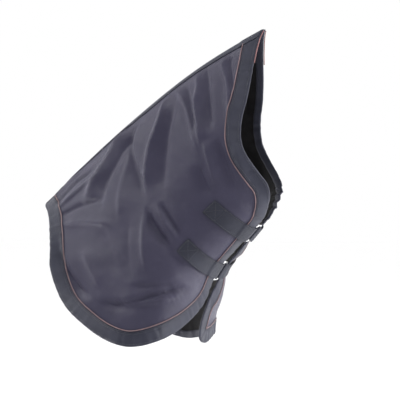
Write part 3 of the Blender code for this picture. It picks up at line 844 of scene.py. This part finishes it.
def leaf_sheet(leaf):
    """Fine (along, turn) points, gathers, triangles, rim and uv of a leaf."""
    c, n = leaf["corner"], leaf["n"]
    at = np.concatenate([np.linspace(0, c, c * EDGE_FINE + 1),
                         np.linspace(c, n, (n - c) * CREST_FINE + 1)[1:-1]])
    m = len(at)
    reaches = np.linspace(0, BAND_REACH, 8)
    rings = [rim(leaf, at, r, "mesh_rows") for r in reaches]
    gathers = [pucker(leaf, at, np.full(m, r)) for r in reaches]
    scale = np.array([ALONG_LENGTH, math.radians(1) * NECK_RADIUS])
    poly = rings[-1] * scale
    low, high = poly.min(0), poly.max(0)
    points = []
    for row, a in enumerate(np.arange(low[0], high[0], FILL_STEP * 0.866)):
        shift = FILL_STEP / 2 if row % 2 else 0.0
        points += [(a, b) for b in np.arange(low[1] + shift, high[1], FILL_STEP)]
    points = np.array(points)
    inside, near = inside_polygon(points, poly)
    points = points[inside & (near > FILL_STEP * 0.5)]
    everything = [Vector(p) for p in np.concatenate([poly, points])]
    border = [(k, (k + 1) % m) for k in range(m)]
    filled = delaunay_2d_cdt(everything, border, [], 1, 1e-9)[2]
    first = (len(reaches) - 1) * m
    faces = [tuple(v + first for v in f) for f in filled]
    for level in range(len(reaches) - 1):
        for i in range(m):
            a, b = level * m + i, level * m + (i + 1) % m
            faces += [(a, b, b + m), (a, b + m, a + m)]
    places = np.concatenate(rings + [points / scale])
    extra = np.concatenate(gathers + [np.zeros(len(points))])
    uv = places * np.array([ALONG_LENGTH, TURN_LENGTH])
    return places, extra, faces, np.arange(m), uv


def binding_section():
    """(reach, lift) round the folded strip, out over the top and back."""
    middle, half = (BIND_TOP + BIND_LOW) / 2, (BIND_TOP - BIND_LOW) / 2

    def fold(centre, depth, height, degrees):
        angles = [math.radians(deg) for deg in degrees]
        return [(centre - depth * math.cos(ang), middle + height * math.sin(ang))
                for ang in angles]

    outer = [(BAND_REACH - 0.0004, BIND_TOP - 0.0002)]
    outer += [(r, BIND_TOP) for r in (0.038, 0.032, 0.026, 0.020, 0.014, 0.008, 0.003)]
    outer += fold(0.0006, 0.0030, half, (60, 30, 0, -30, -60))
    outer += [(r, BIND_LOW) for r in (0.003, 0.009, 0.015, 0.020)]
    flat = [(r, lift) for r, lift in outer if r > 0.001]
    top = [(r, lift - BIND_THICK) for r, lift in flat if lift > 0]
    low = [(r, lift + BIND_THICK) for r, lift in flat if lift < 0]
    arc = fold(0.0008, 0.0020, half - 0.001, (60, 20, -20, -60))
    return outer + (top + arc + low)[::-1]


def strip_uv(run, across):
    """Lengthways and crossways distance at each point of a strip's rows."""
    return np.stack(np.broadcast_arrays(run[:, None], across[None]), -1).reshape(-1, 2)


def build_cloths(name, leaf):
    """Shell and lining of one leaf."""
    body, side = name + "_side", leaf["side"]
    places, extra, faces, loop, uv = leaf_sheet(leaf)
    height = relief(*places.T, side) + extra
    base = form(*places.T)
    out_way = outward(*places.T)

    def layer(lift):
        spots = base + out_way * (height + lift)[:, None]
        spots[:, 1] *= -side
        return spots

    shell = slab(name + "_shell_cloth", layer(SHELL_OUT), layer(0.0), faces, loop, uv)
    finish_piece(shell, SHELL_MAT, body, [name + "_shell"])
    lining = slab(name + "_lining_cloth", layer(LINING_OUT), layer(LINING_IN),
                  faces, loop, uv)
    finish_piece(lining, LINING_MAT, body, [name + "_lining"])
    return shell, lining


def build_binding(name, leaf):
    """Wide strip folded over the free edge of a leaf."""
    c = leaf["corner"]
    at = np.linspace(BIND_END, c - BIND_END, c * EDGE_FINE)
    section = np.array(binding_section())
    rows = rim_surface(leaf, at[:, None], section[None, :, 0], section[None, :, 1])
    uv = strip_uv(at * EDGE_STEP, distances(section))
    binding = tube_rows(name + "_binding_strip", rows, uv=uv)
    return finish_piece(binding, BIND_MAT, name + "_side",
                        [name + "_edge_binding"])


def rim_run(leaf, first, last, reach, lift, step=0.1):
    """Points and normals along a leaf's edge."""
    at = np.arange(first, last, step)
    spots = rim_surface(leaf, at, np.full(len(at), reach), lift)
    place = rim(leaf, at, reach)
    normal = outward(*place.T)
    normal[:, 1] *= -leaf["side"]
    return spots, normal


def build_trims(name, leaf):
    """Stitching, piping and poll cord of one leaf."""
    c, n, body = leaf["corner"], leaf["n"], name + "_side"
    ends = PIPE_ENDS[0], c - PIPE_ENDS[1]
    runs = [rim_run(leaf, *ends, reach, BIND_TOP + SEAM_LIFT) for reach in BIND_SEAMS]
    runs.append(rim_run(leaf, c + TAPE_SEAM_END, n - TAPE_SEAM_END, TAPE_SEAM,
                        TAPE_LIFT + TAPE_THICK + SEAM_LIFT))
    threads = stitches(name + "_stitching", runs)
    finish_piece(threads, THREAD_MAT, body)
    path, _ = rim_run(leaf, *ends, PIPE_REACH, PIPE_LIFT)
    piping = round_tube(name + "_piping_cord", path, PIPE_RADIUS, 8)
    finish_piece(piping, PIPE_MAT, body, [name + "_piping"])
    path, _ = rim_run(leaf, *TRIM_SPAN, -TRIM_OUT, 0.0)
    trim = round_tube(name + "_poll_cord", path, TRIM_RADIUS, 10)
    finish_piece(trim, TRIM_MAT, body, [name + "_poll_trim"])
    return [threads, piping, trim]


def build_crest_tape():
    """One strip over both leaves, across the crest between them."""
    right, left = (LEAVES[name] for name in ("right", "left"))
    at_right, at_left = (
        np.linspace(leaf["corner"] + 0.05, leaf["n"] - 0.05, TAPE_ROWS)[:, None]
        for leaf in (right, left))
    from_end = np.minimum(at_right - right["corner"], right["n"] - at_right) * CREST_STEP
    rise = TAPE_RISE * smooth((TAPE_COVER - from_end) / TAPE_SOFT)
    grids = []
    for lift in (TAPE_LIFT + TAPE_THICK, TAPE_LIFT):
        a = rim_surface(right, at_right, TAPE_COLUMNS[None], lift + rise)
        b = rim_surface(left, at_left, TAPE_COLUMNS[None], lift + rise)[:, ::-1]
        grids.append(np.concatenate([a, b], 1))
    top, low = grids
    run = distances(top[:, len(TAPE_COLUMNS) - 1])
    across = distances(top[TAPE_ROWS // 2])
    tape = tube_rows("crest_tape", np.concatenate([top, low[:, ::-1]], 1),
                     uv=strip_uv(run, np.concatenate([across, across[::-1]])))
    finish_piece(tape, BIND_MAT, None, ["right_crest_tape", "left_crest_tape"])
    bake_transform(tape)


leaf_pieces = {}
for leaf_name, leaf in LEAVES.items():
    shell, lining = build_cloths(leaf_name, leaf)
    leaf_pieces[leaf_name] = dict(
        shell=shell, lining=lining,
        on_shell=[build_binding(leaf_name, leaf), *build_trims(leaf_name, leaf)])
build_crest_tape()

# ---- fastenings

COLUMNS = np.array([-1.0, -0.97, -0.86, -0.6, -0.3, 0.0, 0.3, 0.6, 0.86, 0.97, 1.0])


def band_grid(along, turn, half, side, lift, columns=COLUMNS):
    """Points over a leaf across a band, rows along it.

    A pair of lifts is the lift over the cloth and that over the binding."""
    along = np.asarray(along)[:, None]
    turn = np.asarray(turn)[:, None]
    ds, _ = slopes(along, turn)
    a = along + columns[None] * half / np.linalg.norm(ds, axis=-1)
    t = np.broadcast_to(turn, a.shape)
    if np.isscalar(lift):
        return surface(a, t, side, np.full(a.shape, lift))
    leaf = LEAVES["right" if side < 0 else "left"]
    edge = rim(leaf, np.linspace(0, leaf["corner"], 500), 0.0)
    gap, _ = nearest(form(a, t).reshape(-1, 3), form(*edge.T))
    over = lift[0] + (lift[1] - lift[0]) * smooth((EDGE_ZONE - gap) / EDGE_SOFT + 0.5)
    return surface(a, t, side, over.reshape(a.shape))


def edge_turn(along):
    """Turn of the right leaf's closure edge at a station."""
    rows = np.array(FRONT_EDGE[-1:] + CLOSURE_EDGE + HEM_RIGHT[:1])
    order = np.argsort(rows[:, 0])
    return float(np.interp(along, rows[order, 0], rows[order, 1]))


def band_body(name, outer, inner):
    """Closed band between an outer and an inner grid."""
    outer, inner = np.array(outer), np.array(inner)
    run = distances(outer[:, outer.shape[1] // 2])
    across = distances(outer[0])
    return tube_rows(name, np.concatenate([outer, inner[:, ::-1]], 1),
                     uv=strip_uv(run, np.concatenate([across, across[::-1]])))


class Fastening:
    """Sewn band on the right leaf, wire ring, strap and pads on the left."""

    def __init__(self, label, sewn, sewn_turn, ring_at):
        self.label = label
        self.sewn_end = sewn, sewn_turn
        self.ring_end = ring_at, edge_turn(ring_at)
        self.centre = form(ring_at, 180.0)
        self.length_way = unit(form(ring_at + 0.02, 180.0) - form(ring_at - 0.02, 180.0))
        self.across_way = np.array([0.0, 1.0, 0.0])
        self.out_way = np.cross(self.length_way, self.across_way)
        if np.dot(self.out_way, outward(ring_at, 180.0)) < 0:
            self.out_way = -self.out_way

    def at_ring(self, v, y, z):
        """Point along, across and out from the ring's centre."""
        v, y, z = (part[..., None] for part in np.broadcast_arrays(v, y, z))
        return self.centre + self.length_way * v + self.across_way * y + self.out_way * z

    def build_ring(self):
        """Rectangle of wire with rounded corners."""
        path = []
        for cx, cy, start in ((1, 1, 0), (-1, 1, 90), (-1, -1, 180), (1, -1, 270)):
            ang = np.radians(start + np.linspace(0, 90, 9))
            path.append(self.at_ring(
                cx * (RING_HALF - RING_FILLET) + RING_FILLET * np.cos(ang),
                cy * (RING_BAR - RING_FILLET) + RING_FILLET * np.sin(ang), 0.0))
        ring = round_tube(self.label + "_wire_ring", np.concatenate(path), RING_WIRE, 16,
                          closed=True)
        finish_piece(ring, METAL_MAT, self.label + "_ring_body",
                     [self.label + "_ring"])

    def eye(self, side, degrees):
        """Inner and outer rows of the fold round a bar, and of its tail."""
        half = COLUMNS * BAND_HALF
        both = []
        for size in (RING_WIRE + EYE_CLEAR, RING_WIRE + EYE_CLEAR + BAND_THICK):
            angles = [math.radians(deg) for deg in degrees]
            rows = [self.at_ring(half, side * (RING_BAR - size * math.cos(ang)),
                                 size * math.sin(ang)) for ang in angles]
            both.append((rows, self.at_ring(half, side * (RING_BAR + TAIL), -size)))
        return both

    def arc(self, start, end, count=120):
        """Stations, turns and distances along the band's middle."""
        f = np.linspace(0, 1, count)
        along, turn = (a + (b - a) * f for a, b in zip(start, end))
        return along, turn, distances(form(along, turn))

    def grids(self, arc, dist, half, side, lifts):
        """Inner and outer grid at distances along an arc."""
        along, turn, run = arc
        a, t = np.interp(dist, run, along), np.interp(dist, run, turn)
        return [band_grid(a, t, half, side, lift) for lift in lifts]

    def seam(self, arc, side, lift, start, end, count):
        """Points and normals of a stitch row from (distance, column) to another."""
        f = np.linspace(0, 1, count)
        d, c = (a + (b - a) * f for a, b in zip(start, end))
        along, turn, run = arc
        a, t = np.interp(d, run, along), np.interp(d, run, turn)
        spots = [band_grid(a[k:k + 1], t[k:k + 1], BAND_HALF, side, lift, c[k:k + 1])
                 for k in range(count)]
        normal = outward(a, t)
        normal[:, 1] *= -side
        return np.array(spots)[:, 0, 0], normal

    def build_sewn_band(self):
        """Band over the right leaf, folded round the ring's inner bar."""
        arc = self.arc(self.sewn_end, self.ring_end)
        length = arc[2][-1]
        low_lift = np.array([BAND_LIFT, BAND_LIFT_EDGE])
        low, high = self.grids(arc, np.linspace(0, length, 46), BAND_HALF, -1,
                               (low_lift, low_lift + BAND_THICK))
        (rows_in, tail_in), (rows_out, tail_out) = self.eye(-1, range(90, -91, -15))
        band = band_body(self.label + "_sewn_band", [*high, *rows_out, tail_out],
                         [*low, *rows_in, tail_in])
        finish_piece(band, WEB_MAT, "right_side", [self.label + "_chape"])

        near, box, far, edge = SEAM_INSET, BOX_LENGTH, length - RING_FREE, BAND_SEAM
        rows = [((near, -edge), (far, -edge)), ((near, edge), (far, edge)),
                ((near, -edge), (near, edge)), ((box, -edge), (box, edge)),
                ((near, -edge), (box, edge)), ((box, -edge), (near, edge)),
                ((far, -edge), (far, edge))]
        lift = low_lift + BAND_THICK + BAND_SEAM_LIFT
        threads = stitches(self.label + "_band_stitching",
                           [self.seam(arc, -1, lift, *row, 14) for row in rows])
        finish_piece(threads, THREAD_MAT, "right_side")
        return [band, threads]

    def build_strap(self):
        """Strap from the ring's outer bar over the left leaf, and its pads."""
        strap_body = self.label + "_strap_body"
        arc = self.arc(self.ring_end, self.sewn_end)
        low, high = self.grids(arc, np.linspace(0, STRAP_LENGTH, 34), BAND_HALF, 1,
                               (STRAP_LIFT, STRAP_LIFT + BAND_THICK))
        (rows_in, tail_in), (rows_out, tail_out) = self.eye(1, range(-90, 91, 15))
        strap = band_body(self.label + "_strap_band", [tail_out, *rows_out, *high],
                          [tail_in, *rows_in, *low])
        finish_piece(strap, WEB_MAT, strap_body, [self.label + "_strap"])

        near, far, edge = RING_FREE, STRAP_LENGTH - SEAM_INSET, BAND_SEAM
        rows = [((near, c), (far, c)) for c in (-edge, edge)]
        rows += [((d, -edge), (d, edge)) for d in (near, STRAP_BOX, far)]
        lift = STRAP_LIFT + BAND_THICK + BAND_SEAM_LIFT
        threads = stitches(self.label + "_strap_stitching",
                           [self.seam(arc, 1, lift, *row, 16) for row in rows])
        finish_piece(threads, THREAD_MAT, strap_body)

        pads = []
        for pad, lift, body in (("_loop_pad", PAD_LIFT, "left_side"),
                                ("_hook_pad", HOOK_LIFT, strap_body)):
            low, high = self.grids(arc, np.linspace(PAD_FROM, PAD_TO, 18), PAD_HALF, 1,
                                   (lift, lift + PAD_THICK))
            piece = band_body(self.label + pad + "_pile", high, low)
            pads.append(finish_piece(piece, TOUCH_MAT, body, [self.label + pad]))
        return pads


for label, places in FASTENINGS.items():
    fastening = Fastening(label, *places)
    fastening.build_ring()
    leaf_pieces["right"]["on_shell"] += fastening.build_sewn_band()
    leaf_pieces["left"]["on_shell"].append(fastening.build_strap()[0])

# ---- stage
FLOOR_Z = -0.95
FLOOR_HALF = 30
floor = new_mesh("floor", [(x * FLOOR_HALF, y * FLOOR_HALF, FLOOR_Z)
                           for x, y in ((-1, -1), (1, -1), (1, 1), (-1, 1))],
                 [(0, 1, 2, 3)])
floor_paint = Paint("floor_material", 0.9)
floor_paint.shader.inputs["Base Color"].default_value = (1.0, 1.0, 1.0, 1)
floor.data.materials.append(floor_paint.mat)

world = bpy.data.worlds.new("studio")
world.use_nodes = True
background = world.node_tree.nodes["Background"]
background.inputs["Color"].default_value = (1.0, 1.0, 1.0, 1)
background.inputs["Strength"].default_value = 1.0
bpy.context.scene.world = world

VIEW_AZIMUTH = math.radians(20)
VIEW_RIGHT = Vector((math.cos(VIEW_AZIMUTH), math.sin(VIEW_AZIMUTH), 0))
VIEW_BACK = Vector((math.sin(VIEW_AZIMUTH), -math.cos(VIEW_AZIMUTH), 0))
AIM = VIEW_RIGHT * 0.136 + Vector((0, 0, -0.276))


def area_light(name, right, back, up, size, power):
    """Soft box placed from the aim: right, toward the camera and up."""
    data = bpy.data.lights.new(name + "_light", "AREA")
    data.shape = "SQUARE"
    data.size = size
    data.energy = power
    obj = bpy.data.objects.new(data.name, data)
    spot = AIM + VIEW_RIGHT * right + VIEW_BACK * back + Vector((0, 0, up))
    obj.location = spot
    obj.rotation_euler = (AIM - spot).to_track_quat("-Z", "Y").to_euler()
    bpy.context.scene.collection.objects.link(obj)


for light in (("key", 2.2, 0.8, 1.7, 0.4, 62), ("rim", -2.4, -0.6, 1.2, 0.4, 64),
              ("back_right", 2.6, -0.2, 0.0, 0.6, 130),
              ("top", -0.6, 0.7, 2.6, 0.5, 50),
              ("low_left", -2.1, -0.8, -0.66, 0.5, 130),
              ("low_front", -0.5, 2.0, -0.66, 0.5, 13)):
    area_light(*light)
bpy.context.scene.view_settings.view_transform = "Standard"

CAMERA_AWAY = 7.0
FRAME_WIDTH = 1.16
camera_data = bpy.data.cameras.new("camera")
camera_data.sensor_width = 36
camera_data.lens = 36 * CAMERA_AWAY / FRAME_WIDTH
camera = bpy.data.objects.new("camera", camera_data)
camera.location = AIM + VIEW_BACK * CAMERA_AWAY
camera.rotation_euler = (-VIEW_BACK).to_track_quat("-Z", "Y").to_euler()
bpy.context.scene.collection.objects.link(camera)
bpy.context.scene.camera = camera
